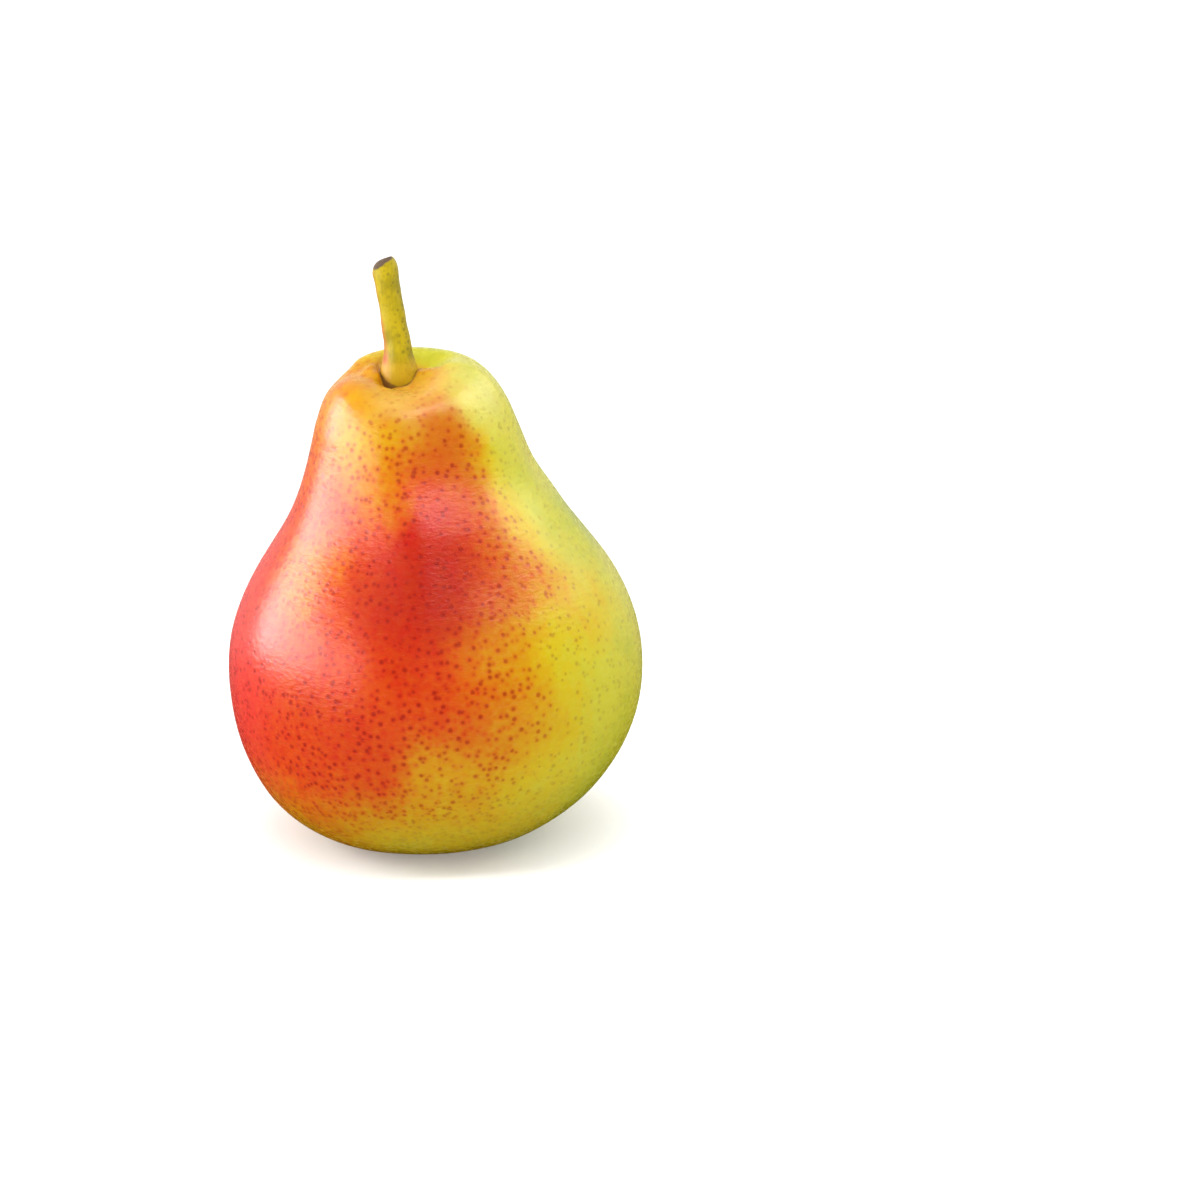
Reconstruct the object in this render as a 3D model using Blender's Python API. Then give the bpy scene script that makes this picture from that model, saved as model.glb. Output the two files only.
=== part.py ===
"""A ripe two-coloured pear that stands on its base, with its stem and its dried calyx.

Units are metres and +Z is up. The pear stands on the plane z = 0, and its belly is centred on the
Z axis. The base and the neck lie a little to the -X side of the belly, as they grew.
Run with: blender --background --python part.py
"""

import math

import bmesh
import bpy
from mathutils import Vector
from mathutils.geometry import interpolate_bezier

# Heights of the flesh, each one measured from the height before it. The first is from the plane z = 0.
BELLY_HEIGHT = 0.0305
WAIST_RISE = 0.0247
NECK_RISE = 0.0202
CROWN_RISE = 0.0097

# Radii of the flesh at those heights, and how far the waist and the neck lean in from upright.
BELLY_RADIUS = 0.0362
WAIST_RADIUS = 0.0258
WAIST_LEAN = math.radians(35)
NECK_RADIUS = 0.0168
NECK_LEAN = math.radians(15.5)
CROWN_RADIUS = 0.0076

# How far the middle of the base, the neck and the stem's foot lie from the belly's, towards -X, and how far
# above the belly the neck starts to lean.
BASE_OFFSET = 0.0031
NECK_OFFSET = 0.0038
STEM_OFFSET = 0.0056
LEAN_RISE = 0.0155

# The flat ring that the pear stands on, and the calyx basin inside it.
BASIN_RADIUS = 0.0085
REST_WIDTH = 0.0040
REST_EDGE_SLOPE = math.radians(7.5)
BASIN_DEPTH = 0.0058

# The stem's hollow in the crown. The crown's crest is lower in front and at the stem's own side.
HOLLOW_DEPTH = 0.0042
FRONT_DIP = 0.0030
SIDE_DIP = 0.0009

# The stem, a woody stalk that thins above its foot and thickens again at its slanted tip. Each share is the
# part of its length over which it does so.
STEM_FOOT_RADIUS = 0.0027
STEM_WAIST_RADIUS = 0.0021
STEM_TIP_RADIUS = 0.0023
STEM_FOOT_SHARE = 0.45
STEM_TIP_SHARE = 0.45
STEM_RISE = 0.0226
STEM_SEAT = 0.0020
STEM_TIP_DRIFT = 0.0026
STEM_TIP_LEAN = math.radians(7)
STEM_CUT_SLANT = math.radians(14)

# The calyx: a ring of dried sepals round a tuft of withered stamens.
SEPALS = 5
CALYX_RADIUS = 0.0021
SEPAL_THICKNESS = 0.0005
SEPAL_REACH = 0.0026
SEPAL_RECESS = 0.0016
TUFT_HEIGHT = 0.0022

# The gap that separate pieces keep where they meet, and the flat left around a piece's foot.
FIT_GAP = 0.0003
SEAT_MARGIN = 0.0003

# Mesh fineness: points round the flesh, round the stem and its tuft, and round a sepal, points along each
# curve, and the distance under which two points are one.
FLESH_SIDES = 56
STEM_SIDES = 20
SEPAL_SIDES = 8
CURVE_POINTS = 9
SAME_POINT = 0.00001
SHARP_ANGLE = math.radians(50)

waist_height = BELLY_HEIGHT + WAIST_RISE
neck_height = waist_height + NECK_RISE
crown_height = neck_height + CROWN_RISE
hollow_floor = crown_height - HOLLOW_DEPTH
lean_height = BELLY_HEIGHT + LEAN_RISE
hollow_radius = STEM_FOOT_RADIUS + FIT_GAP + SEAT_MARGIN
rest_radius = BASIN_RADIUS + REST_WIDTH
calyx_seat_radius = CALYX_RADIUS + SEPAL_THICKNESS / 2 + SEAT_MARGIN
tuft_radius = CALYX_RADIUS - SEPAL_THICKNESS / 2 - FIT_GAP
calyx_top = BASIN_DEPTH - FIT_GAP


def clear_scene():
    for each in list(bpy.data.objects):
        bpy.data.objects.remove(each)


def principled(name, colour, roughness, metallic=0.0):
    """A plain material of one colour."""
    material = bpy.data.materials.new(name)
    material.use_nodes = True
    shader = material.node_tree.nodes["Principled BSDF"]
    shader.inputs["Base Color"].default_value = (*colour, 1.0)
    shader.inputs["Roughness"].default_value = roughness
    shader.inputs["Metallic"].default_value = metallic
    material.diffuse_color = (*colour, 1.0)
    return material


def smooth_step(value):
    """Rises smoothly from 0 to 1 as the value goes from 0 to 1, and stays level outside that."""
    value = min(max(value, 0.0), 1.0)
    return value * value * (3 - 2 * value)


def arc(start, start_way, end, end_way, fullness_start, fullness_end):
    """Points of one profile curve. It leaves and arrives along the two ways given.

    Each fullness is a handle's length as a share of the straight distance between the ends.
    """
    span = (end - start).length
    near = start + start_way.normalized() * span * fullness_start
    far = end - end_way.normalized() * span * fullness_end
    return interpolate_bezier(start, near, far, end, CURVE_POINTS)


def flesh_profile():
    """The half outline of the flesh in the XZ plane, from the floor of the stem's hollow to the basin's."""
    outward = Vector((1, 0, 0))
    downward = Vector((0, 0, -1))
    hollow_middle = Vector((0, 0, hollow_floor))
    hollow_edge = Vector((hollow_radius, 0, hollow_floor))
    crest = Vector((CROWN_RADIUS, 0, crown_height))
    neck = Vector((NECK_RADIUS, 0, neck_height))
    neck_way = Vector((math.sin(NECK_LEAN), 0, -math.cos(NECK_LEAN)))
    waist = Vector((WAIST_RADIUS, 0, waist_height))
    waist_way = Vector((math.sin(WAIST_LEAN), 0, -math.cos(WAIST_LEAN)))
    belly = Vector((BELLY_RADIUS, 0, BELLY_HEIGHT))
    rest_outside = Vector((rest_radius, 0, 0))
    rest_way = Vector((-math.cos(REST_EDGE_SLOPE), 0, -math.sin(REST_EDGE_SLOPE)))
    rest_inside = Vector((BASIN_RADIUS, 0, 0))
    basin_edge = Vector((calyx_seat_radius, 0, BASIN_DEPTH))
    basin_middle = Vector((0, 0, BASIN_DEPTH))
    curves = (
        arc(hollow_edge, outward, crest, outward, 0.25, 0.40),
        arc(crest, outward, neck, neck_way, 0.33, 0.33),
        arc(neck, neck_way, waist, waist_way, 0.17, 0.33),
        arc(waist, waist_way, belly, downward, 0.25, 0.42),
        arc(belly, downward, rest_outside, rest_way, 0.38, 0.38),
        arc(rest_inside, -outward + Vector((0, 0, 0.6)), basin_edge, -outward, 0.30, 0.40),
    )
    points = [hollow_middle]
    for curve in curves:
        points += [point for point in curve if (point - points[-1]).length > SAME_POINT]
    return points + [basin_middle]


def middle_at(height):
    """How far the middle of the flesh lies towards -X at this height."""
    if height < BELLY_HEIGHT:
        return BASE_OFFSET * (1 - height / BELLY_HEIGHT) ** 2
    return NECK_OFFSET * smooth_step((height - lean_height) / (crown_height - lean_height))


def grown(point):
    """Moves a point of the turned shape to its place on the grown one."""
    x, y, z = point
    radius = math.hypot(x, y)
    if z < neck_height:
        in_basin = radius < rest_radius and z < BELLY_HEIGHT
        return Vector((x - (BASE_OFFSET if in_basin else middle_at(z)), y, z))
    inwards = max((CROWN_RADIUS - radius) / (CROWN_RADIUS - hollow_radius), 0.0)
    inwards = min(inwards, 1.0)
    towards_front = max(-y, 0.0) / max(radius, SAME_POINT)
    towards_side = max(-x, 0.0) / max(radius, SAME_POINT)
    dip = FRONT_DIP * towards_front**2 + SIDE_DIP * towards_side**2
    dip *= min(smooth_step((z - neck_height) / CROWN_RISE), 1 - inwards)
    middle = NECK_OFFSET if inwards else middle_at(z)
    middle += (STEM_OFFSET - NECK_OFFSET) * inwards
    return Vector((x - middle, y, z - dip))


def finished(name, mesh, material):
    """Closes the bmesh and makes it a smooth object that faces out."""
    bmesh.ops.remove_doubles(mesh, verts=mesh.verts, dist=SAME_POINT)
    bmesh.ops.recalc_face_normals(mesh, faces=mesh.faces)
    data = bpy.data.meshes.new(name)
    mesh.to_mesh(data)
    mesh.free()
    data.materials.append(material)
    data.shade_smooth()
    data.set_sharp_from_angle(angle=SHARP_ANGLE)
    made = bpy.data.objects.new(name, data)
    bpy.context.scene.collection.objects.link(made)
    return made


def loft(name, rings, material):
    """A closed solid skinned over rings of points, with both ends filled."""
    mesh = bmesh.new()
    loops = []
    for ring in rings:
        verts = [mesh.verts.new(point) for point in ring]
        loops.append([mesh.edges.new((verts[i - 1], verts[i])) for i in range(len(verts))])
    for loop, following in zip(loops, loops[1:]):
        bmesh.ops.bridge_loops(mesh, edges=loop + following)
    bmesh.ops.contextual_create(mesh, geom=loops[0])
    bmesh.ops.contextual_create(mesh, geom=loops[-1])
    return finished(name, mesh, material)


def make_flesh(material):
    """The flesh with its skin, one grown piece, turned from the profile and then pulled to its grown shape."""
    mesh = bmesh.new()
    verts = [mesh.verts.new(point) for point in flesh_profile()]
    edges = [mesh.edges.new(pair) for pair in zip(verts, verts[1:])]
    bmesh.ops.spin(
        mesh,
        geom=verts + edges,
        cent=(0, 0, 0),
        axis=(0, 0, 1),
        angle=math.tau,
        steps=FLESH_SIDES,
        use_merge=True,
    )
    bmesh.ops.remove_doubles(mesh, verts=mesh.verts, dist=SAME_POINT)
    for vert in mesh.verts:
        vert.co = grown(vert.co)
    return finished("pear_body", mesh, material)


def stem_rings(extra=0.0):
    """Rings of points up the stem, from its foot in the flesh to its slanted tip."""
    foot = Vector((-STEM_OFFSET, 0, hollow_floor - STEM_SEAT - extra))
    tip = Vector((-STEM_OFFSET - STEM_TIP_DRIFT, 0, hollow_floor + STEM_RISE - STEM_TIP_RADIUS / 2))
    upward = Vector((0, 0, 1))
    tip_way = Vector((-math.sin(STEM_TIP_LEAN), 0, math.cos(STEM_TIP_LEAN)))
    line = arc(foot, upward, tip, tip_way, 1 / 3, 1 / 3)
    rings = []
    for index, middle in enumerate(line):
        share = index / (len(line) - 1)
        near_foot = smooth_step(1 - share / STEM_FOOT_SHARE)
        near_tip = smooth_step(1 - (1 - share) / STEM_TIP_SHARE)
        radius = STEM_WAIST_RADIUS
        radius += (STEM_FOOT_RADIUS - STEM_WAIST_RADIUS) * near_foot
        radius += (STEM_TIP_RADIUS - STEM_WAIST_RADIUS) * near_tip
        slant = math.tan(STEM_CUT_SLANT) * near_tip
        ring = []
        for side in range(STEM_SIDES):
            turn = math.tau * side / STEM_SIDES
            across = Vector((math.cos(turn), math.sin(turn), math.cos(turn) * slant))
            ring.append(middle + across * (radius + extra))
        rings.append(ring)
    return rings


def cut_stem_seat(flesh):
    """Cuts the seat of the stem into the flesh, wider and deeper than the stem by the gap."""
    cutter = loft("stem_seat_cutter", stem_rings(extra=FIT_GAP), None)
    cutter.hide_render = True
    cutter.display_type = "WIRE"
    cut = flesh.modifiers.new("stem_seat", "BOOLEAN")
    cut.operation = "DIFFERENCE"
    cut.object = cutter


def sepal_rings(turn):
    """Rings of points along one dried sepal, which hangs from the basin's floor and curls at its tip."""
    outward = Vector((math.cos(turn), math.sin(turn), 0))
    sideways = Vector((-math.sin(turn), math.cos(turn), 0))
    seat = Vector((-BASE_OFFSET, 0, calyx_top)) + outward * CALYX_RADIUS
    drop = calyx_top - SEPAL_RECESS
    knee = seat - Vector((0, 0, drop * 0.45))
    elbow = seat + outward * SEPAL_REACH - Vector((0, 0, drop * 0.75))
    tip = seat + outward * SEPAL_REACH * 0.95 - Vector((0, 0, drop))
    line = interpolate_bezier(seat, knee, elbow, tip, CURVE_POINTS)
    base_width = 2 * (CALYX_RADIUS - SEPAL_THICKNESS / 2) * math.tan(math.pi / SEPALS) - FIT_GAP
    rings = []
    for index, middle in enumerate(line):
        ahead = line[min(index + 1, len(line) - 1)] - line[max(index - 1, 0)]
        across = sideways.cross(ahead).normalized()
        if index == 0:
            across = outward
        share = index / (len(line) - 1)
        half_width = base_width / 2 * (1 - 0.8 * share**2.2)
        half_thickness = SEPAL_THICKNESS / 2 * (1 - 0.4 * share)
        ring = []
        for side in range(SEPAL_SIDES):
            angle = math.tau * (side + 0.5) / SEPAL_SIDES
            edge = sideways * half_width * math.cos(angle) / math.cos(math.pi / SEPAL_SIDES)
            face = across * half_thickness * math.sin(angle) / math.sin(math.tau * 1.5 / SEPAL_SIDES)
            ring.append(middle + edge + face)
        rings.append(ring)
    return rings


def make_tuft(material):
    """The withered stamens in the middle of the calyx, as one fluted cone."""
    rings = []
    shape = ((0.0, 1.0), (0.35, 0.95), (0.75, 0.72), (1.0, 0.35))
    for drop_share, width_share in shape:
        ring = []
        for side in range(STEM_SIDES):
            turn = math.tau * side / STEM_SIDES
            flute = 1 - 0.22 * drop_share * (side % 2)
            radius = tuft_radius * width_share * flute
            height = calyx_top - TUFT_HEIGHT * drop_share
            ring.append(Vector((-BASE_OFFSET + radius * math.cos(turn), radius * math.sin(turn), height)))
        rings.append(ring)
    return loft("stamen_tuft", rings, material)


def make_pear():
    clear_scene()
    skin = principled("red_and_yellow_skin", (0.78, 0.24, 0.04), 0.35)
    wood = principled("green_stem", (0.42, 0.36, 0.03), 0.55)
    dry = principled("dried_calyx", (0.12, 0.05, 0.02), 0.85)
    threads = principled("withered_stamens", (0.06, 0.03, 0.015), 0.9)
    flesh = make_flesh(skin)
    cut_stem_seat(flesh)
    loft("stem", stem_rings(), wood)
    for number in range(SEPALS):
        loft(f"sepal_{number + 1}", sepal_rings(math.tau * (number + 0.25) / SEPALS), dry)
    make_tuft(threads)


make_pear()
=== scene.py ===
"""The looks of a ripe red and yellow pear with its stem and dried calyx, built around its fixed frame.

Units are metres and +Z is up. The pear stands on z = 0 and is seen from the -Y side, a little from above.
"""

import math
import random

import bpy
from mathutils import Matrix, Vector
from mathutils.geometry import interpolate_bezier


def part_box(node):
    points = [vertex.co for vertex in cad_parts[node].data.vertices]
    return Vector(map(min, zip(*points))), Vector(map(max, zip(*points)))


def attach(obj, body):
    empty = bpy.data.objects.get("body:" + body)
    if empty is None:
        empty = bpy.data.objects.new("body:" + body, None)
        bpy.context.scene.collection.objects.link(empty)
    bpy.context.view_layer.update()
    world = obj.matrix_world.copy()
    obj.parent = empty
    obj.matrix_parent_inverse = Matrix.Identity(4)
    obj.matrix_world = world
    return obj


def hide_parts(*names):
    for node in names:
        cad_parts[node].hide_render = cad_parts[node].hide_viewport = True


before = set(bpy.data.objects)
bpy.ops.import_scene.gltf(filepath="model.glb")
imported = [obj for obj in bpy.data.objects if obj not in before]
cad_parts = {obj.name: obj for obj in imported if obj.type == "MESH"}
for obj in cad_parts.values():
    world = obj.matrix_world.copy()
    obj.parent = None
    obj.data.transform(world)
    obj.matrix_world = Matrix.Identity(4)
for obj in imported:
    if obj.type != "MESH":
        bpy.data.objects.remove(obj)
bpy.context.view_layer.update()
body_low, body_high = (Vector(corner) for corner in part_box("pear_body"))
_, stem_high = (Vector(corner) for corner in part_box("stem"))
tuft_low, tuft_high = (Vector(corner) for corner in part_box("stamen_tuft"))

MM = 0.001
BELLY_RADIUS = (body_high.x - body_low.x) / 2
CROWN_HEIGHT = body_high.z
BASE_X = (tuft_low.x + tuft_high.x) / 2
CALYX_TOP = tuft_high.z
STEM_TIP = stem_high.z


# ---------------------------------------------------------------- modelling by operators


def deselect_all():
    if bpy.context.object and bpy.context.object.mode != "OBJECT":
        bpy.ops.object.mode_set(mode="OBJECT")
    bpy.ops.object.select_all(action="DESELECT")


def make_active(piece):
    deselect_all()
    piece.select_set(True)
    bpy.context.view_layer.objects.active = piece


def named(name):
    """Names the new primitive, puts its place into its mesh and returns it."""
    piece = bpy.context.active_object
    piece.name = name
    piece.data.name = name
    bpy.ops.object.transform_apply(location=True, rotation=True, scale=True)
    return piece


def unselect_parts(piece, kind):
    """Leaves nothing of the piece selected, ready to select its vertices or its faces."""
    make_active(piece)
    bpy.ops.object.mode_set(mode="EDIT")
    bpy.ops.mesh.select_mode(type=kind)
    bpy.ops.mesh.select_all(action="DESELECT")
    bpy.ops.object.mode_set(mode="OBJECT")


def choose(piece, test):
    """Selects the vertices whose place passes the test, and nothing else."""
    unselect_parts(piece, "VERT")
    for vertex in piece.data.vertices:
        vertex.select = test(vertex.co)
    bpy.ops.object.mode_set(mode="EDIT")


def choose_faces(piece, test):
    """Selects the faces that pass the test, and nothing else."""
    unselect_parts(piece, "FACE")
    for face in piece.data.polygons:
        face.select = test(face)
    bpy.ops.object.mode_set(mode="EDIT")


def pull(piece, spot, move, reach, core=0.8 * MM):
    """Moves the skin near the spot, and less and less of what lies round it, out to the reach."""
    spot = Vector(spot)
    nearest = min((vertex.co - spot).length for vertex in piece.data.vertices)
    choose(piece, lambda point: (point - spot).length <= max(core, nearest + 1e-6))
    bpy.ops.transform.translate(
        value=move,
        use_proportional_edit=True,
        use_proportional_connected=True,
        proportional_edit_falloff="SMOOTH",
        proportional_size=reach,
    )
    bpy.ops.object.mode_set(mode="OBJECT")


def pull_all(piece, middle, pulls):
    """Makes every pull of a table whose rows give the spot from the middle, the move and the reach in mm."""
    for spot, move, reach in pulls:
        pull(piece, middle + Vector(spot) * MM, Vector(move) * MM, reach * MM)


def apply_modifiers(piece):
    make_active(piece)
    for modifier in list(piece.modifiers):
        bpy.ops.object.modifier_apply(modifier=modifier.name)


def subdivide_smooth(piece, levels):
    smoother = piece.modifiers.new("smoother", "SUBSURF")
    smoother.levels = levels
    smoother.render_levels = levels
    apply_modifiers(piece)


def roughen(piece, size, strength, depth=1):
    """Moves the surface in and out by soft random swellings of about this size."""
    swell = bpy.data.textures.new(f"{piece.name}_swell", "CLOUDS")
    swell.noise_scale = size
    swell.noise_depth = depth
    mover = piece.modifiers.new("swell", "DISPLACE")
    mover.texture = swell
    mover.strength = strength
    mover.texture_coords = "LOCAL"
    apply_modifiers(piece)


def face_out(piece):
    """Joins doubled vertices, turns every face outwards and shades the piece smooth."""
    make_active(piece)
    bpy.ops.object.mode_set(mode="EDIT")
    bpy.ops.mesh.select_all(action="SELECT")
    bpy.ops.mesh.remove_doubles(threshold=0.005 * MM)
    bpy.ops.mesh.normals_make_consistent(inside=False)
    bpy.ops.object.mode_set(mode="OBJECT")
    bpy.ops.object.shade_smooth()


def tube(name, rings, sides):
    """A skin over rings, each one (x, y, z, radius), extruded from the first to the last and closed."""
    x, y, z, radius = rings[0]
    deselect_all()
    bpy.ops.mesh.primitive_circle_add(vertices=sides, radius=radius, location=(x, y, z))
    piece = named(name)
    bpy.ops.object.mode_set(mode="EDIT")
    bpy.ops.mesh.select_all(action="SELECT")
    for ring in rings[1:]:
        step = (ring[0] - x, ring[1] - y, ring[2] - z)
        bpy.ops.mesh.extrude_region_move(TRANSFORM_OT_translate={"value": step})
        scale = ring[3] / radius
        bpy.ops.transform.resize(value=(scale, scale, 1), center_override=ring[:3])
        x, y, z, radius = ring
    bpy.ops.mesh.edge_face_add()
    bpy.ops.mesh.select_all(action="DESELECT")
    bpy.ops.object.mode_set(mode="OBJECT")
    start_x, start_y, start_z, start_radius = rings[0]
    start = Vector((start_x, start_y))

    def on_first_ring(point):
        return abs(point.z - start_z) < 1e-6 and (point.xy - start).length < start_radius * 1.01

    choose(piece, on_first_ring)
    bpy.ops.mesh.edge_face_add()
    bpy.ops.object.mode_set(mode="OBJECT")
    face_out(piece)
    return piece


# ---------------------------------------------------------------- the flesh and its skin

# Heights and radii where the outline turns: the neck, and the waist between the neck and the belly.
BELLY_HEIGHT = 30.5 * MM
WAIST_HEIGHT, WAIST_RADIUS, WAIST_LEAN = 55.2 * MM, 25.8 * MM, math.radians(35)
NECK_HEIGHT, NECK_RADIUS, NECK_LEAN = 75.4 * MM, 16.8 * MM, math.radians(15.5)
CREST_RADIUS = 7.6 * MM
HOLLOW_DEPTH = 2.7 * MM
REST_OUTSIDE, REST_INSIDE = 12.5 * MM, 8.5 * MM
BASIN_FLOOR = CALYX_TOP + 0.1 * MM
BASIN_FLOOR_RADIUS = 2.9 * MM

# How far the middle of the flesh lies from the Z axis at its neck and at the stem.
NECK_X = -3.8 * MM
STEM_X = -5.7 * MM
LEAN_HEIGHT = 46 * MM


def smooth_step(value):
    value = min(max(value, 0.0), 1.0)
    return value * value * (3 - 2 * value)


def middle_x(height):
    """Where the middle of the flesh lies at this height."""
    if height < BELLY_HEIGHT:
        return BASE_X * (1 - height / BELLY_HEIGHT) ** 2
    return NECK_X * smooth_step((height - LEAN_HEIGHT) / (CROWN_HEIGHT - LEAN_HEIGHT))


def arc(start, start_way, end, end_way, fullness, points):
    """Points of one stretch of the outline, as (radius, height), which leaves and arrives along two ways."""
    start, end = Vector((*start, 0)), Vector((*end, 0))
    span = (end - start).length
    near = start + Vector((*start_way, 0)).normalized() * span * fullness[0]
    far = end - Vector((*end_way, 0)).normalized() * span * fullness[1]
    return [(point.x, point.y) for point in interpolate_bezier(start, near, far, end, points)]


def flesh_rings():
    """Rings from under the stem's foot, over the crown and down the outside, to the floor of the basin."""
    out, down = (1, 0), (0, -1)
    neck_way = (math.sin(NECK_LEAN), -math.cos(NECK_LEAN))
    waist_way = (math.sin(WAIST_LEAN), -math.cos(WAIST_LEAN))
    crest = (CREST_RADIUS, CROWN_HEIGHT)
    neck = (NECK_RADIUS, NECK_HEIGHT)
    waist = (WAIST_RADIUS, WAIST_HEIGHT)
    belly = (BELLY_RADIUS, BELLY_HEIGHT)
    rest_outside, rest_inside = (REST_OUTSIDE, 0), (REST_INSIDE, 0)
    foot_floor = CROWN_HEIGHT - HOLLOW_DEPTH
    foot = [(2.0, -1.6), (2.9, -1.2), (3.3, -0.4), (3.7, 0.1)]
    hollow = [(radius * MM, foot_floor + rise * MM) for radius, rise in foot]
    inside = arc(hollow[-1], out, crest, out, (0.3, 0.4), 8)[1:]
    rings = [(STEM_X, 0, height, radius) for radius, height in hollow]
    for radius, height in inside:
        share = (CREST_RADIUS - radius) / (CREST_RADIUS - hollow[-1][0])
        rings.append((NECK_X + (STEM_X - NECK_X) * share, 0, height, radius))
    outside = arc(crest, out, neck, neck_way, (0.36, 0.33), 9)[1:]
    outside += arc(neck, neck_way, waist, waist_way, (0.2, 0.33), 9)[1:]
    outside += arc(waist, waist_way, belly, down, (0.25, 0.42), 10)[1:]
    outside += arc(belly, down, rest_outside, (-1, -0.13), (0.38, 0.38), 14)[1:]
    rings += [(middle_x(height), 0, height, radius) for radius, height in outside]
    basin = arc(rest_inside, (-1, 0.5), (BASIN_FLOOR_RADIUS, BASIN_FLOOR), (-1, 0.1), (0.3, 0.4), 9)
    basin.append((0.8 * MM, BASIN_FLOOR + 0.4 * MM))
    rings += [(BASE_X, 0, height, radius) for radius, height in basin]
    return rings


# Swellings and dents of the crown, in mm from where the stem's axis meets the crown's height.
CROWN_PULLS = [
    # It falls away in front of the stem, and a little at its left shoulder.
    ((0, -7.6, 0), (0, 0, -3.7), 9.5),
    ((0.2, -3.8, -2.7), (0, 0.3, 0.6), 3.2),
    ((5.0, -8.0, -3.0), (0, 0.2, -1.1), 6.5),
    ((-5.7, 0, 0), (0, 0, -2.4), 8),
    ((-10.1, 2.0, -3.0), (-0.1, 0, -1.2), 7),
    ((17.4, 0, -7), (0.3, 0, 0.1), 12),
    # Fleshy rolls climb the stem's foot at its right and its left, with a valley behind the right one.
    ((4.0, -1.2, -2.6), (-0.4, 0, 1.5), 3.9),
    ((6.0, 1.0, -1.0), (0, 0, -1.0), 4.2),
    ((-3.7, 0.4, -2.6), (0.5, 0, 1.9), 4.0),
    ((-3.2, -1.9, -3.4), (0.4, 0, 1.2), 2.6),
]

# In front the waist is a shelf, hollow under the neck and full at the top of the belly: in mm from the origin.
WAIST_PULLS = [
    ((3, -18, 69.5), (0, 1.1, 0), 12),
    ((0, -24, 58.5), (0, -1.6, 0), 13),
    ((14, -18.5, 57.5), (0.4, -0.9, 0), 12),
    ((2, -29, 50), (0, -0.6, 0), 10),
]

# Where the right flank is a little flat above the belly and fuller below that, in degrees from +X towards +Y.
FLANK_TURNS = (-35, -5, 25, 55)
BASIN_FOLDS = 7


def sideways(turn):
    """The level direction at this angle from +X towards +Y."""
    return Vector((math.cos(turn), math.sin(turn), 0))


def on_front_of_crown(point):
    """Whether a place is on the crown's front or left, outside the groove round the stem's foot."""
    from_stem = (point.xy - Vector((STEM_X, 0))).length
    in_front = point.y < -3 * MM or point.x < STEM_X - 8 * MM
    return point.z > CROWN_HEIGHT - 11 * MM and in_front and from_stem > 4.6 * MM


def make_flesh():
    """The flesh with its skin: turned rings, then the swellings and dents that it grew with."""
    flesh = tube("pear_skin", flesh_rings(), sides=64)
    subdivide_smooth(flesh, 1)
    pull_all(flesh, Vector((STEM_X, 0, CROWN_HEIGHT)), CROWN_PULLS)
    for turn in FLANK_TURNS:
        way = sideways(math.radians(turn))
        pull(flesh, way * 20.5 * MM + Vector((-2.5 * MM, 0, 65 * MM)), way * -0.75 * MM, 9 * MM)
        pull(flesh, way * 26.5 * MM + Vector((-1 * MM, 0, 56 * MM)), way * 0.35 * MM, 8 * MM)
    pull_all(flesh, Vector((0, 0, 0)), WAIST_PULLS)
    choose(flesh, on_front_of_crown)
    bpy.ops.mesh.vertices_smooth(factor=0.5, repeat=34)
    bpy.ops.object.mode_set(mode="OBJECT")
    # Folds run from the dried flower into the basin.
    for fold in range(BASIN_FOLDS):
        way = sideways(math.tau * (fold + 0.3 * math.sin(fold * 2.1)) / BASIN_FOLDS)
        place = Vector((BASE_X, 0, 3.4 * MM)) + way * 6.3 * MM
        pull(flesh, place, (0, 0, -0.7 * MM), 2.2 * MM, core=0.5 * MM)
    roughen(flesh, 19 * MM, 0.5 * MM)
    rest_flat(flesh)
    subdivide_smooth(flesh, 1)
    rest_flat(flesh)
    bpy.ops.object.shade_smooth()
    return flesh


def rest_flat(piece):
    """Presses whatever hangs below the floor, or close above it, flat onto the floor."""
    choose(piece, lambda point: point.z < 0.1 * MM)
    bpy.ops.transform.resize(value=(1, 1, 0), center_override=(0, 0, 0))
    bpy.ops.object.mode_set(mode="OBJECT")


# ---------------------------------------------------------------- the stem

STEM_FOOT = Vector((STEM_X, 0, 78.9 * MM))
STEM_END = Vector((-8.2 * MM, 0, STEM_TIP - 0.5 * MM))
STEM_LEAN = math.radians(7)

# The stem's half width at shares of its length, from its foot in the flesh to its swollen tip.
STEM_WIDTHS = [
    (0.00, 3.3), (0.09, 3.5), (0.15, 3.2), (0.23, 2.75), (0.30, 2.45), (0.40, 2.2), (0.55, 2.07),
    (0.70, 2.07), (0.84, 2.18), (0.94, 2.32), (1.00, 2.05),
]
STEM_RINGS = 34

# How far the last rings are tilted, in degrees from the tip back.
TIP_TILTS = (20, 13, 8, 4, 2)

# Knobs and ridges of the stem: where, which way they stand out and how far round they reach, in mm.
STEM_KNOBS = [
    ((-8.0, -2.2, 98.5), (0, -0.25, 0), 2.2),
    ((-5.2, -1.6, 94.0), (0.25, -0.1, 0), 2.4),
    ((-8.4, -1.2, 90.5), (-0.25, 0, 0), 3.0),
    ((-4.3, -0.8, 88.5), (0.3, 0, 0), 2.4),
    ((-7.2, 2.2, 95.0), (0, 0.3, 0), 3.0),
    ((-7.0, 2.2, 87.0), (0, 0.3, 0), 2.5),
    ((-6.0, -2.2, 86.5), (0, -0.2, 0), 2.5),
]


def between(table, share):
    """Reads a smooth value out of a table of (share, value) rows."""
    for (low, start), (high, end) in zip(table, table[1:]):
        if share <= high:
            return start + (end - start) * smooth_step((share - low) / (high - low))
    return table[-1][1]


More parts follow.
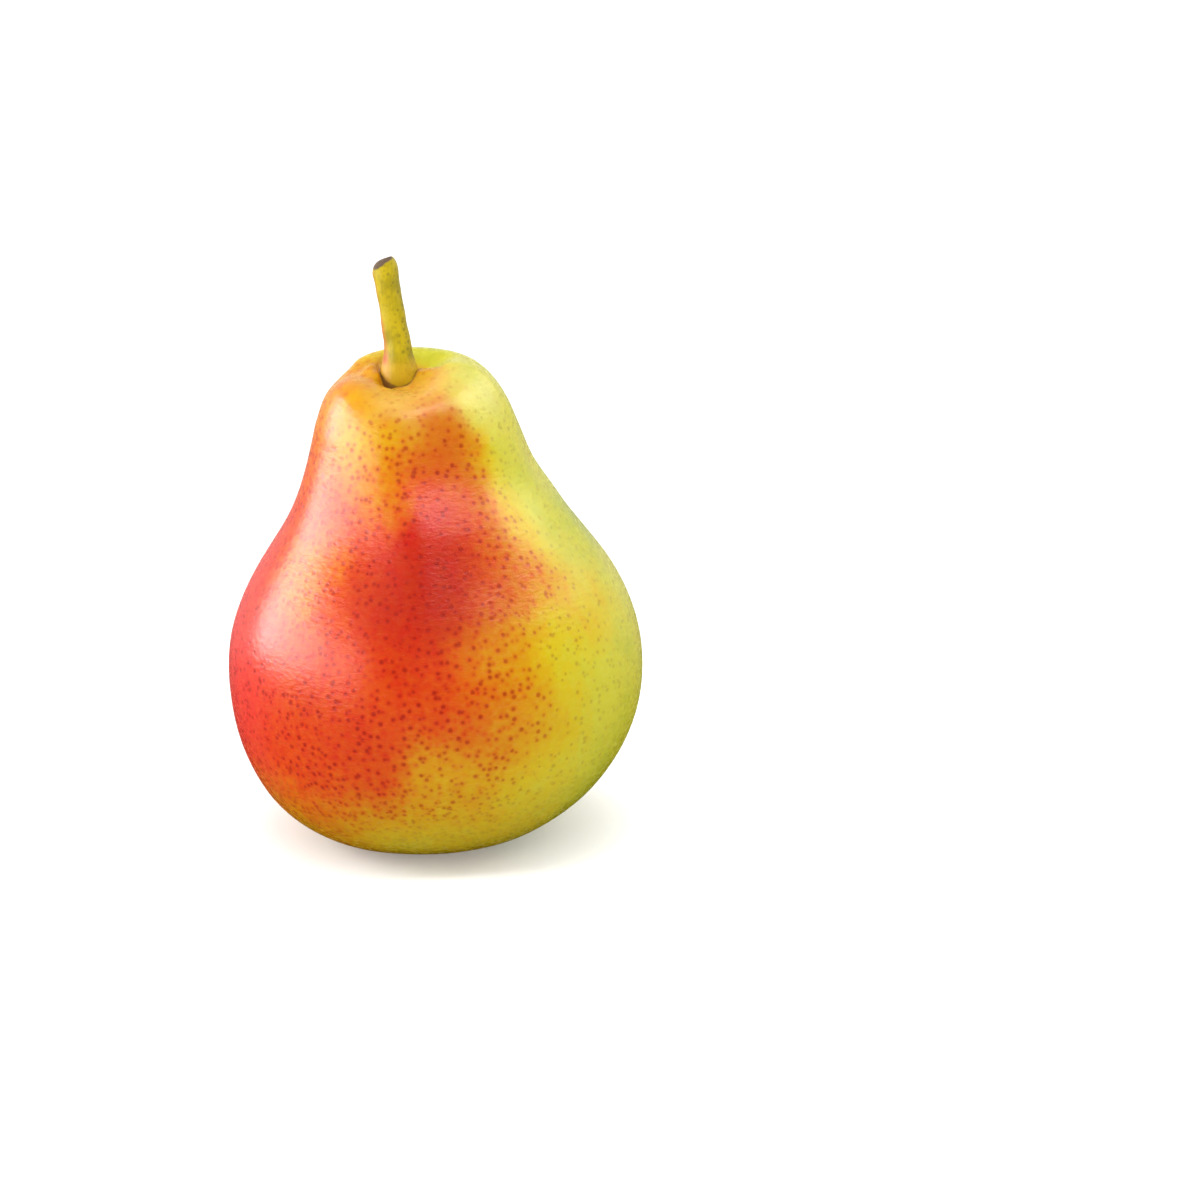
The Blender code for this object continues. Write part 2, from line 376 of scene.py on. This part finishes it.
def make_stem():
    """The woody stem: rings along a bent line, a slanted wound at its tip, then knobs and fine bark."""
    length = (STEM_END - STEM_FOOT).length
    lean = Vector((-math.sin(STEM_LEAN), 0, math.cos(STEM_LEAN)))
    above_foot = STEM_FOOT + Vector((0, 0, 0.45 * length))
    below_end = STEM_END - lean * 0.45 * length
    line = interpolate_bezier(STEM_FOOT, above_foot, below_end, STEM_END, STEM_RINGS)
    last = STEM_RINGS - 1
    rings = [(*point, between(STEM_WIDTHS, step / last) * MM) for step, point in enumerate(line)]
    stem = tube("pear_stem", rings, sides=20)
    # The tip was torn off at a slant that faces up to the left, and has dried into a low rim.
    for back, angle in enumerate(TIP_TILTS):
        ring = line[last - back]
        choose(stem, lambda point: abs(point.z - ring.z) < 0.05 * MM)
        bpy.ops.transform.rotate(value=math.radians(angle), orient_axis="Y", center_override=ring)
        bpy.ops.transform.rotate(value=math.radians(angle * 0.5), orient_axis="X", center_override=ring)
        bpy.ops.object.mode_set(mode="OBJECT")
    choose_faces(stem, lambda face: face.normal.z > 0.7)
    bpy.ops.mesh.inset(thickness=0.5 * MM)
    bpy.ops.transform.translate(value=(0, 0, 0.15 * MM))
    bpy.ops.mesh.inset(thickness=0.45 * MM)
    bpy.ops.transform.translate(value=(0, 0, -0.22 * MM))
    bpy.ops.mesh.inset(thickness=0.7 * MM)
    bpy.ops.object.mode_set(mode="OBJECT")
    pull(stem, STEM_END + Vector((-2.2 * MM, 0, -0.9 * MM)), (0.1 * MM, 0, -0.75 * MM), 2.2 * MM)
    pull(stem, STEM_END + Vector((2.2 * MM, 0, 0.9 * MM)), (-0.2 * MM, 0, -0.35 * MM), 1.4 * MM)
    # A low ridge and a few buds of bark run along it.
    pull_all(stem, Vector((0, 0, 0)), STEM_KNOBS)
    subdivide_smooth(stem, 1)
    roughen(stem, 4.5 * MM, 0.28 * MM, depth=2)
    roughen(stem, 1.3 * MM, 0.07 * MM)
    subdivide_smooth(stem, 1)
    bpy.ops.object.shade_smooth()
    return stem


# ---------------------------------------------------------------- the dried flower in the basin

SEPAL_ROOT = 2.2 * MM
SEPAL_LENGTH = 3.4 * MM
SEPAL_HEIGHT = 4.3 * MM
SEPAL_ROWS = 10

# How far each sepal is curled down and rolled over, in degrees.
SEPAL_CURLS = (8, -14, 16, -4, 26)
SEPAL_ROLLS = (10, -12, 6, 14, -8)

THREADS = 13
THREAD_RINGS = 8


def make_sepal():
    """One dried sepal that points along +X, thick at its root, ridged, and curled down at its tip."""
    deselect_all()
    bpy.ops.mesh.primitive_grid_add(x_subdivisions=9, y_subdivisions=7, size=1, location=(0, 0, 0))
    sepal = named("sepal")
    make_active(sepal)
    bpy.ops.object.mode_set(mode="EDIT")
    bpy.ops.mesh.select_all(action="SELECT")
    bpy.ops.transform.resize(value=(SEPAL_LENGTH, 3.0 * MM, 1))
    bpy.ops.transform.translate(value=(SEPAL_ROOT + 1.5 * MM, 0, SEPAL_HEIGHT))
    bpy.ops.object.mode_set(mode="OBJECT")
    start = SEPAL_ROOT - 0.2 * MM
    for row in range(SEPAL_ROWS):
        share = row / (SEPAL_ROWS - 1)
        place = start + SEPAL_LENGTH * share
        width = 0.75 + 0.35 * math.sin(math.pi * share) - 0.62 * share**2.5
        choose(sepal, lambda point: abs(point.x - place) < 0.1 * MM)
        bpy.ops.transform.resize(value=(1, width, 1), center_override=(place, 0, SEPAL_HEIGHT))
        drop = 0.9 * MM * (1 - share) - 2.6 * MM * share**2
        bpy.ops.transform.translate(value=(-0.8 * MM * share**3, 0, drop))
        bpy.ops.object.mode_set(mode="OBJECT")
    # The middle stands up as a ridge and the two edges have rolled in.
    for row in range(4):
        place = start + SEPAL_LENGTH * (0.12 + 0.25 * row)
        spots = [vertex.co.copy() for vertex in sepal.data.vertices]
        near = min(spots, key=lambda spot: abs(spot.x - place) + abs(spot.y))
        pull(sepal, near, (0, 0.1 * MM * math.sin(row * 2.3), -0.45 * MM), 1.0 * MM, core=0.1 * MM)
    thicken = sepal.modifiers.new("thickness", "SOLIDIFY")
    thicken.thickness = 0.42 * MM
    thicken.offset = 0
    subdivide_smooth(sepal, 1)
    return sepal


def make_sepals():
    """The five sepals: one is modelled, and the others are copies that dried each in its own way."""
    first = make_sepal()
    sepals = []
    for number, (curl, roll) in enumerate(zip(SEPAL_CURLS, SEPAL_ROLLS)):
        make_active(first)
        bpy.ops.object.duplicate()
        sepal = bpy.context.active_object
        sepal.name = f"dried_sepal_{number + 1}"
        sepal.data.name = sepal.name
        bpy.ops.object.mode_set(mode="EDIT")
        bpy.ops.mesh.select_all(action="SELECT")
        hinge = (SEPAL_ROOT, 0, 5.0 * MM)
        bpy.ops.transform.rotate(value=math.radians(curl), orient_axis="Y", center_override=hinge)
        spine = (SEPAL_ROOT, 0, 4.4 * MM)
        bpy.ops.transform.rotate(value=math.radians(roll), orient_axis="X", center_override=spine)
        turn = math.tau * (number + 0.25) / len(SEPAL_CURLS)
        bpy.ops.transform.rotate(value=-turn, orient_axis="Z", center_override=(0, 0, 0))
        bpy.ops.transform.translate(value=(BASE_X, 0, 0))
        bpy.ops.object.mode_set(mode="OBJECT")
        roughen(sepal, 1.1 * MM, 0.5 * MM, depth=2)
        face_out(sepal)
        sepals.append(sepal)
    make_active(first)
    bpy.ops.object.delete()
    return sepals


def make_stamens(pick):
    """A crumpled tuft of dried threads that hangs from the middle of the basin's floor."""
    threads = []
    for number in range(THREADS):
        way = sideways(math.tau * number / THREADS + pick.uniform(-0.2, 0.2))
        out = pick.uniform(0.3, 1.0)
        place = Vector((BASE_X, 0, CALYX_TOP + 0.3 * MM)) + way * out * 0.9 * MM
        rings = []
        for step in range(THREAD_RINGS):
            sway = Vector((pick.uniform(-1, 1), pick.uniform(-1, 1), 0)) * 0.12 * MM
            spread = way * out * 0.1 * MM * step
            point = place + spread + sway
            point.z -= step * pick.uniform(0.30, 0.38) * MM
            rings.append((*point, (0.2 - 0.012 * step) * MM))
        rings[-1] = (*rings[-1][:3], 0.22 * MM)
        threads.append(tube(f"thread_{number}", rings, sides=6))
    deselect_all()
    for thread in threads:
        thread.select_set(True)
    bpy.context.view_layer.objects.active = threads[0]
    bpy.ops.object.join()
    tuft = bpy.context.active_object
    tuft.name = "dried_stamens"
    tuft.data.name = tuft.name
    subdivide_smooth(tuft, 1)
    bpy.ops.object.shade_smooth()
    return tuft


# ---------------------------------------------------------------- camera, lights and floor


CAMERA_LENS = 129.6
CAMERA_AWAY = 0.75
CAMERA_DOWN = math.radians(17)
CAMERA_TARGET = Vector((28.5 * MM, 0, 41.94 * MM))


def make_camera():
    """Looks at the pear from its -Y side and a little from above, with the pear left of the middle."""
    data = bpy.data.cameras.new("camera")
    data.lens = CAMERA_LENS
    data.sensor_width = 36
    data.clip_start = 0.01
    camera = bpy.data.objects.new("camera", data)
    bpy.context.scene.collection.objects.link(camera)
    back = Vector((0, -math.cos(CAMERA_DOWN), math.sin(CAMERA_DOWN)))
    camera.location = CAMERA_TARGET + back * CAMERA_AWAY
    camera.rotation_euler = (math.pi / 2 - CAMERA_DOWN, 0, 0)
    bpy.context.scene.camera = camera


def softbox(name, azimuth, elevation, away, size, radiance, mirrored=True, lights_up=True):
    """A soft light seen from the pear at these angles, in degrees right of the camera's side and up.

    One that is not mirrored only lights the pear up, and one that doesn't light up is only mirrored in it.
    """
    middle = Vector((0, 0, 0.05))
    turn, rise = math.radians(azimuth), math.radians(elevation)
    way = Vector((math.sin(turn) * math.cos(rise), -math.cos(turn) * math.cos(rise), math.sin(rise)))
    data = bpy.data.lights.new(name, "AREA")
    data.shape = "RECTANGLE"
    data.size, data.size_y = size
    data.energy = radiance * math.pi * size[0] * size[1]
    lamp = bpy.data.objects.new(name, data)
    bpy.context.scene.collection.objects.link(lamp)
    lamp.location = middle + way * away
    lamp.rotation_euler = way.to_track_quat("Z", "Y").to_euler()
    lamp.visible_camera = False
    lamp.visible_glossy = mirrored
    lamp.visible_diffuse = lights_up


def make_world():
    """A white studio: bright behind and above, dim in front and below, and plain white where it is seen."""
    world = bpy.data.worlds.new("studio")
    bpy.context.scene.world = world
    world.use_nodes = True
    tree = world.node_tree
    look = tree.nodes.new("ShaderNodeTexCoord")
    parts = tree.nodes.new("ShaderNodeSeparateXYZ")
    tree.links.new(look.outputs["Generated"], parts.inputs[0])

    def fade(axis, *limits):
        """Goes smoothly from one place on an axis to another, and from one strength to another."""
        node = tree.nodes.new("ShaderNodeMapRange")
        node.interpolation_type = "SMOOTHSTEP"
        for socket, value in zip(node.inputs[1:], limits):
            socket.default_value = value
        tree.links.new(parts.outputs[axis], node.inputs[0])
        return node.outputs[0]

    strength = tree.nodes.new("ShaderNodeMath")
    strength.operation = "MULTIPLY"
    tree.links.new(fade("Y", -0.2, 0.6, 0.10, 1.05), strength.inputs[0])
    tree.links.new(fade("Z", -0.45, 0.15, 0.0, 1.0), strength.inputs[1])
    ray = tree.nodes.new("ShaderNodeLightPath")
    shown = tree.nodes.new("ShaderNodeMath")
    shown.operation = "MAXIMUM"
    tree.links.new(strength.outputs[0], shown.inputs[0])
    tree.links.new(ray.outputs["Is Camera Ray"], shown.inputs[1])
    background = tree.nodes["Background"]
    background.inputs["Color"].default_value = (1, 1, 1, 1)
    tree.links.new(shown.outputs[0], background.inputs["Strength"])


def make_studio():
    """The world, the lights and a white floor."""
    make_world()
    softbox("left_softbox", -96, 15, 0.7, (0.72, 0.36), 7.6)
    softbox("right_softbox", 124, 14, 0.7, (0.55, 0.28), 2.4, mirrored=False)
    softbox("front_strip", 8, 64, 0.8, (2.0, 0.18), 8.0, mirrored=False)
    softbox("top_light", 0, 86, 0.8, (0.6, 0.6), 2.4)
    softbox("left_gleam", -80, 13, 0.69, (1.0, 0.36), 11.0, lights_up=False)
    softbox("right_gleam", 112, 30, 0.69, (0.5, 0.22), 5.0, lights_up=False)
    softbox("waist_gleam", 26, 61, 0.79, (0.6, 0.22), 14.0, lights_up=False)
    softbox("shoulder_gleam", 92, 44, 0.79, (0.4, 0.25), 12.0, lights_up=False)
    softbox("front_fill", 18, 30, 0.9, (1.0, 0.6), 1.9, mirrored=False)
    bpy.context.scene.view_settings.view_transform = "Standard"
    deselect_all()
    bpy.ops.mesh.primitive_plane_add(size=8, location=(0, 0, 0))
    floor = named("floor")
    floor.visible_glossy = False
    floor.data.materials.append(floor_finish())


# ---------------------------------------------------------------- materials


class Amount:
    """A number that varies over a piece. Arithmetic on it adds Math nodes to the finish it belongs to."""

    def __init__(self, finish, socket):
        self.finish = finish
        self.socket = socket

    def math(self, operation, *values):
        return self.finish.node("ShaderNodeMath", {"operation": operation}, dict(enumerate(values)))

    def __add__(self, other):
        return self.math("ADD", self, other)

    def __radd__(self, other):
        return self.math("ADD", other, self)

    def __sub__(self, other):
        return self.math("SUBTRACT", self, other)

    def __rsub__(self, other):
        return self.math("SUBTRACT", other, self)

    def __mul__(self, other):
        return self.math("MULTIPLY", self, other)

    def most(self, other):
        """The greater of the two."""
        return self.math("MAXIMUM", self, other)


class Finish:
    """One material and the nodes that give it its look. Places in it are in millimetres on the piece."""

    def __init__(self, name, gloss):
        self.material = bpy.data.materials.new(name)
        self.material.use_nodes = True
        self.tree = self.material.node_tree
        self.shader = self.tree.nodes["Principled BSDF"]
        self.shader.inputs["Specular IOR Level"].default_value = gloss
        look = self.node("ShaderNodeTexCoord", output="Object")
        self.place = self.node("ShaderNodeVectorMath", {"operation": "SCALE"}, {0: look, "Scale": 1000.0})

    def node(self, kind, settings=None, values=None, output=0):
        """Adds one node: its settings first, then the values or links of its sockets."""
        made = self.tree.nodes.new(kind)
        for key, setting in (settings or {}).items():
            if key == "stops":
                self.set_stops(made.color_ramp, setting)
            else:
                setattr(made, key, setting)
        for key, value in (values or {}).items():
            self.feed(made.inputs[key], value)
        return Amount(self, made.outputs[output])

    def set_stops(self, ramp, stops):
        """Gives a colour ramp its (position, colour) stops."""
        while len(ramp.elements) < len(stops):
            ramp.elements.new(1.0)
        for element, (position, colour) in zip(ramp.elements, stops):
            element.position = position
            element.color = (*colour, 1)

    def feed(self, socket, value):
        """Links a varying value to the socket, or sets a constant on it."""
        if isinstance(value, Amount):
            self.tree.links.new(value.socket, socket)
        elif isinstance(value, tuple) and len(value) == 3 and socket.type == "RGBA":
            socket.default_value = (*value, 1)
        else:
            socket.default_value = value

    def mix(self, start, end, share):
        """The start colour, with this share of it replaced by the end colour."""
        return self.node("ShaderNodeMix", {"data_type": "RGBA"}, {0: share, 6: start, 7: end}, output=2)

    def ramp(self, amount, stops):
        """The colour that the stops give for this amount."""
        return self.node("ShaderNodeValToRGB", {"stops": stops}, {0: amount})

    def soft(self, amount, low, high, start=0.0, end=1.0):
        """Goes smoothly from start, where the amount is low or less, to end, where it is high or more."""
        values = {0: amount, 1: low, 2: high, 3: start, 4: end}
        return self.node("ShaderNodeMapRange", {"interpolation_type": "SMOOTHSTEP"}, values)

    def stretched(self, scale, place=None):
        """The place, with its three directions scaled."""
        values = {0: place or self.place, 1: scale}
        return self.node("ShaderNodeVectorMath", {"operation": "MULTIPLY"}, values)

    def noise(self, size, detail=2.0, roughness=0.5, place=None, output=0):
        """Soft random spots of about this size, from 0 to 1."""
        values = {"Vector": place or self.place, "Scale": 1.0 / size}
        values |= {"Detail": detail, "Roughness": roughness}
        return self.node("ShaderNodeTexNoise", {}, values, output)

    def away(self, spot, place=None):
        """The distance from a spot."""
        values = {0: place or self.place, 1: spot}
        return self.node("ShaderNodeVectorMath", {"operation": "DISTANCE"}, values, output="Value")

    def near(self, spot, reach, place=None):
        """1 at the spot, and 0 from the reach on."""
        return self.soft(self.away(spot, place), 0.0, reach, 1.0, 0.0)

    def parts(self):
        """The three coordinates of the place."""
        split = self.tree.nodes.new("ShaderNodeSeparateXYZ")
        self.feed(split.inputs[0], self.place)
        return [Amount(self, socket) for socket in split.outputs]

    def cells(self, size):
        """Random cells: how far the nearest middle is, in mm, and a random number for each cell."""
        near = self.tree.nodes.new("ShaderNodeTexVoronoi")
        self.feed(near.inputs["Vector"], self.place)
        self.feed(near.inputs["Scale"], 1.0 / size)
        distance = Amount(self, near.outputs["Distance"]) * size
        kind = self.node("ShaderNodeSeparateColor", {}, {0: Amount(self, near.outputs["Color"])})
        return distance, kind

    def bump(self, height):
        """Raises the surface by this height in mm."""
        values = {"Strength": 1.0, "Distance": MM, "Height": height}
        self.feed(self.shader.inputs["Normal"], self.node("ShaderNodeBump", {}, values))

    def dress(self, **looks):
        """Gives the shader its looks, by the names of its sockets, and returns the material."""
        for key, value in looks.items():
            self.feed(self.shader.inputs[key.replace("_", " ")], value)
        return self.material


# Blush of the sunny side over the yellow ground: from unripe yellow-green to the deepest red.
BLUSH_STOPS = [
    (0.00, (0.42, 0.39, 0.025)),
    (0.15, (0.45, 0.34, 0.008)),
    (0.35, (0.45, 0.22, 0.003)),
    (0.55, (0.45, 0.12, 0.002)),
    (0.75, (0.46, 0.055, 0.002)),
    (1.00, (0.42, 0.006, 0.003)),
]

# Patches that the sun reddened: where (mm), how far they reach and how strongly.
RED_PATCHES = [
    ((2, -20, 66), 18, 0.42),
    ((-2, -23, 60), 14, 0.40),
    ((0, -28, 52), 21, 0.75),
    ((15, -21, 53), 13, 0.38),
    ((24, -16, 46), 14, 0.20),
    ((3, -14, 77), 8, 0.22),
    ((4, -17, 72), 9, 0.24),
    ((-16, -8, 74), 14, 0.15),
]

# Patches that stayed yellow or green, in the same way.
YELLOW_PATCHES = [
    ((-11, -15, 74), 14, 0.30),
    ((-22, -19, 52), 15, 0.34),
    ((14, -10, 84), 12, 0.85),
    ((18, -6, 72), 14, 0.45),
    ((0, -26, 5), 21, 0.75),
    ((11, -31, 41), 15, 0.26),
    ((-8, -20.5, 65), 8, 0.34),
    ((2, -35, 21), 13, 0.58),
    ((-6, -8, 87), 12, 0.35),
    ((16, -26, 17), 20, 0.55),
]

# Tints over the blush, whose last two rows are painted highlights on the crown: where (mm), how far they
# reach, their colour and how strong they are.
TINTS_AND_PAINTED_HIGHLIGHTS = [
    ((-1, -28, 52), 20, (0.25, 0.011, 0.001), 0.62),
    ((4, -17, 74), 11, (0.36, 0.11, 0.002), 0.5),
    # Pale peach in front of the stem's foot: partly skin tone, partly a painted highlight.
    ((-4, -10, 81), 9, (0.50, 0.30, 0.085), 0.55),
    # Pale cream on the right shoulder of the crown: a painted highlight.
    ((7, -6, 83), 11, (0.50, 0.46, 0.15), 0.5),
]

# Pores: brown-green on the yellow ground, brown at the edge of the blush and maroon within it.
PORE_STOPS = [
    (0.0, (0.25, 0.19, 0.01)),
    (0.4, (0.29, 0.055, 0.001)),
    (1.0, (0.21, 0.003, 0.001)),
]

# The sunny side of the pear, and how far the patches of its blush wander, in mm.
SUNNY_WAY = (-0.8, -0.6, 0)
WANDER = 9.0


def floor_finish():
    """A plain white floor that glows a little, and more where it runs off behind, so it has no horizon."""
    floor = Finish("pale_floor", gloss=0.1)
    far = floor.soft(floor.away((0, 0, 0)), 250, 1200, 0.22, 0.85)
    glow = floor.mix((0.0, 0.0, 0.0), (1.0, 1.0, 1.0), far)
    floor.shader.inputs["Emission Strength"].default_value = 1.0
    return floor.dress(Base_Color=(0.75, 0.75, 0.75), Roughness=0.9, Emission_Color=glow)


def skin_finish():
    """Waxy pear skin: yellow ground, red blush stippled round its pores, and cork at stem and flower."""
    skin = Finish("pear_skin_finish", gloss=0.15)
    x, y, z = skin.parts()
    drift = skin.noise(14, detail=2.0)
    wander = skin.noise(WANDER, output="Color")
    shift = skin.node("ShaderNodeVectorMath", {"operation": "SUBTRACT"}, {0: wander, 1: (0.5, 0.5, 0.5)})
    shift = skin.node("ShaderNodeVectorMath", {"operation": "SCALE"}, {0: shift, "Scale": WANDER})
    warped = skin.node("ShaderNodeVectorMath", {"operation": "ADD"}, {0: skin.place, 1: shift})

    # How far round towards the sunny side a place lies, from -1 in the shade to 1.
    flat = skin.stretched((1, 1, 0), warped)
    way = skin.node("ShaderNodeVectorMath", {"operation": "NORMALIZE"}, {0: flat})
    facing = {"operation": "DOT_PRODUCT"}
    sunny = skin.node("ShaderNodeVectorMath", facing, {0: way, 1: SUNNY_WAY}, output="Value")
    # Behind, the edge of the blush wanders more.
    cloud = skin.noise(22, detail=3.0)
    sunny = sunny + (cloud - 0.5) * skin.soft(y, -12, 8) * 1.3
    # The blush is weaker on the neck and near the table.
    on_belly = skin.soft(z + (drift - 0.5) * 14, 80, 56, 0.42, 0.84)
    off_table = skin.soft(z + (drift - 0.5) * 8, 2, 25, 0.40, 1.0)
    blush = skin.soft(sunny, -0.32, 0.66) * on_belly * off_table
    for spot, reach, strength in RED_PATCHES:
        blush = 1 - (1 - blush) * (1 - skin.near(spot, reach, warped) * strength)
    for spot, reach, strength in YELLOW_PATCHES:
        blush = blush * (1 - skin.near(spot, reach, warped) * strength)
    streak = skin.noise(2.2, detail=3.0, place=skin.stretched((1, 1, 0.22)))
    mottle = skin.noise(1.3, detail=3.0, roughness=0.6)
    blush = blush + (streak - 0.5) * 0.22 + (mottle - 0.5) * 0.18 + (drift - 0.5) * 0.12

    # Pores, finer low down and few on the crown, each with a red halo where the blush thins out.
    pore_away, pore_kind = skin.cells(1.3)
    fine_away, fine_kind = skin.cells(1.2)
    low_down = skin.soft(z, 26, 12)
    pore = skin.soft(pore_away - pore_kind * 0.16, 0.08, 0.42, 1.0, 0.0)
    fine = skin.soft(fine_away - fine_kind * 0.12, 0.10, 0.30, 1.0, 0.0) * low_down
    pore = pore.most(fine) * skin.soft(z, 83, 74, 0.4, 1.0)
    halo = skin.soft(pore_away, 0.2, 0.95, 1.0, 0.0)
    edge = skin.soft(blush, 0.12, 0.5) * skin.soft(blush, 1.05, 0.7) * skin.soft(z, 84, 70, 0.4, 1.0)
    blush = blush + (halo - 0.2) * edge * 0.15
    colour = skin.ramp(blush, BLUSH_STOPS)

    # Tints of single places, with painted highlights on the crown, a browner underside darkened as painted
    # shade, and a pinker left flank that is partly a painted rim reflection.
    for spot, reach, tint_and_highlight, strength in TINTS_AND_PAINTED_HIGHLIGHTS:
        colour = skin.mix(colour, tint_and_highlight, skin.near(spot, reach, warped) * strength)
    # The underside turns browner and darker towards the floor: painted shade.
    under = skin.soft(z + (drift - 0.5) * 6, 22, 6) * 0.30
    colour = skin.mix(colour, (0.24, 0.115, 0.001), under)
    # The left edge of the belly turns magenta-pink: partly red blush, partly a painted rim reflection.
    pink_and_painted_reflection = skin.soft(x + (drift - 0.5) * 10, -22, -34) * skin.soft(z, 72, 58)
    colour = skin.mix(colour, (0.52, 0.020, 0.035), pink_and_painted_reflection * 0.45)
    pore_colour = skin.ramp(blush, PORE_STOPS)
    colour = skin.mix(colour, pore_colour, pore * skin.soft(blush, 0.0, 0.4, 0.58, 0.78))

    # The shaded side is clouded with green and has a few rusty flecks.
    unblushed = skin.soft(blush, 0.35, 0.05) * skin.soft(sunny, 0.0, -0.5)
    green = skin.soft(cloud + (mottle - 0.5) * 0.3, 0.44, 0.66) * unblushed
    colour = skin.mix(colour, (0.25, 0.30, 0.010), green * 0.55)
    fleck_away, _ = skin.cells(7.0)
    fleck = skin.soft(fleck_away + (streak - 0.5) * 0.6, 0.02, 0.20, 1.0, 0.0) * skin.soft(sunny, 0.1, -0.3)
    colour = skin.mix(colour, (0.22, 0.10, 0.02), fleck * 0.5)

    # Cork in the groove round the stem's foot, and in the basin.
    groove = skin.away((STEM_X / MM, 0.0, 0.0), skin.stretched((1, 1, 0)))
    cork_edge = skin.noise(1.6, detail=3.0) * 1.4
    seam = skin.soft(groove + cork_edge, 4.7, 3.9) * skin.soft(z, 76, 79)
    basin = skin.away((BASE_X / MM, 0.0, 0.0), skin.stretched((1, 1, 0)))
    scar = skin.soft(basin + cork_edge * 1.8, 6.6, 4.2) * skin.soft(z, 9, 7)
    cork_colour = skin.mix((0.20, 0.10, 0.035), (0.10, 0.045, 0.015), skin.noise(0.7, detail=2.0))
    cork = seam.most(scar)
    colour = skin.mix(colour, cork_colour, cork * 0.85)

    fine_relief = skin.noise(1.5, detail=3.0, roughness=0.6, place=skin.stretched((1, 1, 2.2)))
    skin.bump(fine_relief * 0.08 - pore * 0.012 + cork * skin.noise(0.5, detail=3.0) * 0.10)
    shine = 0.27 + cork * 0.35 + (fine_relief - 0.5) * 0.08
    return skin.dress(Base_Color=colour, Roughness=shine)


def stem_finish():
    """A woody olive-yellow stem: a reddened side, dark specks, and a dry brown wound at its tip."""
    stem = Finish("pear_stem_finish", gloss=0.14)
    x, _, z = stem.parts()
    grain = stem.noise(0.55, detail=4.0, roughness=0.6, place=stem.stretched((1, 1, 0.18)))
    cloud = stem.noise(3.2, detail=2.0)
    olive = stem.soft(cloud + (grain - 0.5) * 0.8, 0.38, 0.66)
    colour = stem.mix((0.42, 0.31, 0.003), (0.30, 0.23, 0.002), olive)
    # Where the stem's middle lies at each height, to tell its left side from its right.
    middle = stem.soft(z, 82, 104, STEM_X / MM + 0.1, -8.5)
    side = x - middle
    reddened = stem.soft(side + (grain - 0.5) * 1.2, -1.2, -2.1) * stem.soft(cloud, 0.3, 0.55, 0.4, 1.0)
    colour = stem.mix(colour, (0.42, 0.12, 0.02), reddened * 0.8)
    speck_away, speck_kind = stem.cells(0.8)
    speck = stem.soft(speck_away - speck_kind * 0.2 + (grain - 0.5) * 0.5, 0.02, 0.26, 1.0, 0.0)
    speck = speck * stem.soft(side, -0.8, 1.6, 0.25, 1.0)
    colour = stem.mix(colour, (0.11, 0.085, 0.008), speck * 0.55)
    # The stem's right side is darkened to olive: painted shade.
    painted_side_shade = stem.soft(side + (cloud - 0.5) * 2, 0.9, 2.4) * 0.35
    colour = stem.mix(colour, (0.13, 0.12, 0.01), painted_side_shade)
    # The foot turns fleshy yellow, with a red fleck on its left, and ends in a brown corky seam.
    colour = stem.mix(colour, (0.48, 0.28, 0.006), stem.soft(z, 86.5, 83.5) * 0.7)
    colour = stem.mix(colour, (0.40, 0.06, 0.02), stem.near((-8.4, -1.4, 85.2), 1.4) * 0.8)
    seam = stem.soft(z + stem.noise(1.6) * 0.6 - side * side * 0.16, 81.6, 81.1)
    # The wound is the slanted face and rim at the tip.
    slant = z - side * 0.62 + (stem.noise(1.2, detail=3.0) - 0.5) * 0.9
    wound = stem.soft(slant, 101.4, 101.9)
    dry = stem.mix((0.16, 0.10, 0.06), (0.06, 0.045, 0.035), stem.noise(0.6, detail=3.0))
    colour = stem.mix(colour, dry, wound)
    colour = stem.mix(colour, (0.12, 0.055, 0.02), seam * 0.85)
    stem.bump(grain * 0.10 + wound * stem.noise(0.35, detail=3.0) * 0.18 - speck * 0.03)
    return stem.dress(Base_Color=colour, Roughness=0.45 + wound * 0.4 + (grain - 0.5) * 0.15)


def sepal_finish():
    """Shrivelled dark brown leaf, lighter brown in patches, with fine wrinkles and specks of tan dust."""
    sepal = Finish("dried_sepal_finish", gloss=0.3)
    wrinkle = sepal.noise(0.7, detail=4.0, roughness=0.65)
    worn = sepal.noise(1.8, detail=2.0)
    faded = sepal.soft(wrinkle + (worn - 0.5) * 0.5, 0.42, 0.68)
    colour = sepal.mix((0.045, 0.020, 0.010), (0.20, 0.10, 0.05), faded)
    dust = sepal.noise(0.25, detail=2.0)
    colour = sepal.mix(colour, (0.33, 0.20, 0.13), sepal.soft(dust, 0.6, 0.8) * 0.5)
    sepal.bump(wrinkle * 0.25 + dust * 0.05)
    return sepal.dress(Base_Color=colour, Roughness=0.62 + worn * 0.3)


def stamen_finish():
    """Withered grey-brown threads, darker at their dusty tips."""
    thread = Finish("dried_stamen_finish", gloss=0.2)
    _, _, z = thread.parts()
    fibre = thread.noise(0.3, detail=3.0, place=thread.stretched((1, 1, 0.3)))
    colour = thread.mix((0.10, 0.06, 0.04), (0.30, 0.22, 0.16), fibre)
    colour = thread.mix(colour, (0.05, 0.03, 0.02), thread.soft(z, 4.0, 2.9))
    thread.bump(fibre * 0.12)
    return thread.dress(Base_Color=colour, Roughness=0.75 + fibre * 0.2)


deselect_all()
make_camera()
make_studio()
flesh = make_flesh()
flesh.data.materials.append(skin_finish())
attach(flesh, "root")
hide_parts("pear_body")
stem = make_stem()
stem.data.materials.append(stem_finish())
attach(stem, "root")
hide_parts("stem")
sepal_look = sepal_finish()
for number, sepal in enumerate(make_sepals(), 1):
    sepal.data.materials.append(sepal_look)
    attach(sepal, "root")
    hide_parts(f"sepal_{number}")
stamens = make_stamens(random.Random(5))
stamens.data.materials.append(stamen_finish())
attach(stamens, "root")
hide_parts("stamen_tuft")
